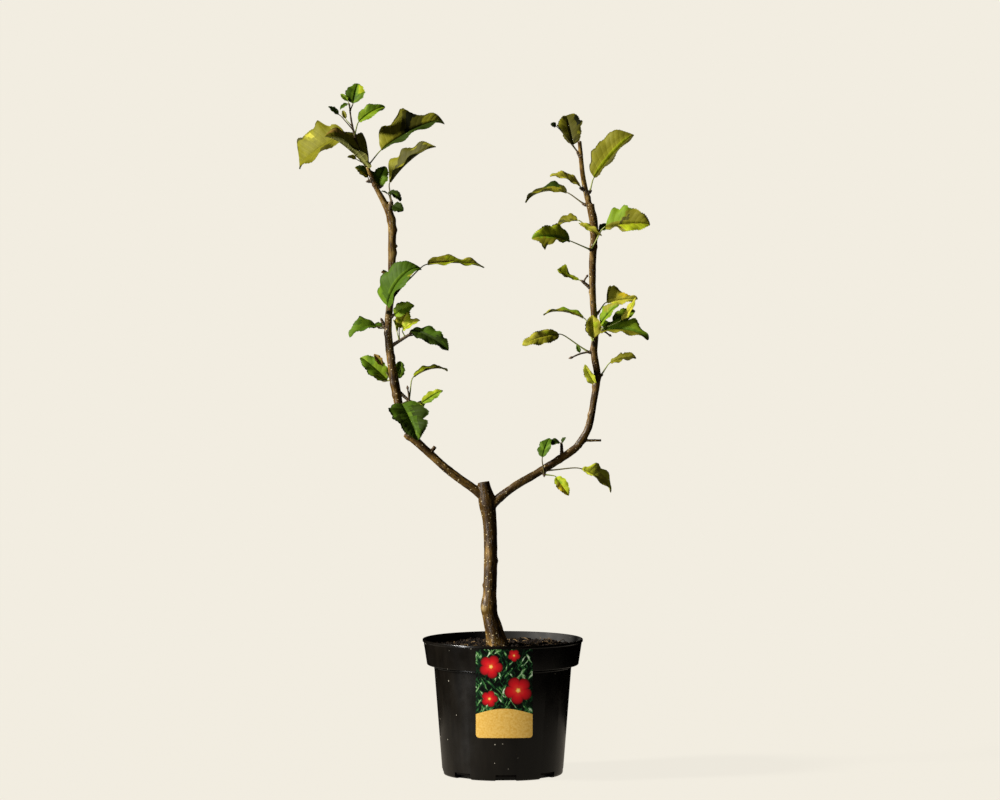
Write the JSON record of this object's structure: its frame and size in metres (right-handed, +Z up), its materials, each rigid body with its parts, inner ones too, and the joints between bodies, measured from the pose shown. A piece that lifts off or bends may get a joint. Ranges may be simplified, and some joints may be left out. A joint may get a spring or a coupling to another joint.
{
  "type": "potted apple tree",
  "caption": "Young apple tree with a stem forked into two upright arms that bear single leaves and small leaf tufts, in a tapered nursery pot of compost with a picture card.",
  "frame": {"origin": "centre of the pot's flat underside, on the pot's axis, where the pot stands", "axes": "+Z up along the pot's axis; the two arms spread along X, the left one in the picture towards -X; -Y is the front, where the picture card hangs"},
  "size_m": [0.511, 0.233, 1.0042],
  "materials": {
    "pot": "satin black polypropylene",
    "compost": "damp crumbly compost",
    "card": "semi-gloss printed card",
    "bark": "rough young bark",
    "leaf": "leathery leaf"
  },
  "bodies": {
    "root": {"pot": "pot", "compost": "compost", "picture_card": "card", "trunk": "bark", "bough_left_lower": "bark", "bough_left_upper": "bark", "bough_right_lower": "bark", "bough_right_upper": "bark", "spray_left_1": "leaf", "spray_left_2": "leaf", "spray_left_3": "leaf", "spray_left_4": "leaf", "spray_left_5": "leaf", "spray_left_6": "leaf", "spray_left_7": "leaf", "spray_left_8": "leaf", "spray_left_9": "leaf", "spray_left_10": "leaf", "spray_left_tip": "leaf", "spray_right_1": "leaf", "spray_right_2": "leaf", "spray_right_3": "leaf", "spray_right_4": "leaf", "spray_right_5": "leaf", "spray_right_6": "leaf", "spray_right_7": "leaf", "spray_right_8": "leaf", "spray_right_9": "leaf", "spray_right_10": "leaf", "spray_right_11": "leaf", "spray_right_12": "leaf", "spray_right_13": "leaf", "spray_right_14": "leaf", "spray_right_15": "leaf", "spray_right_16": "leaf"}
  },
  "joints": []
}
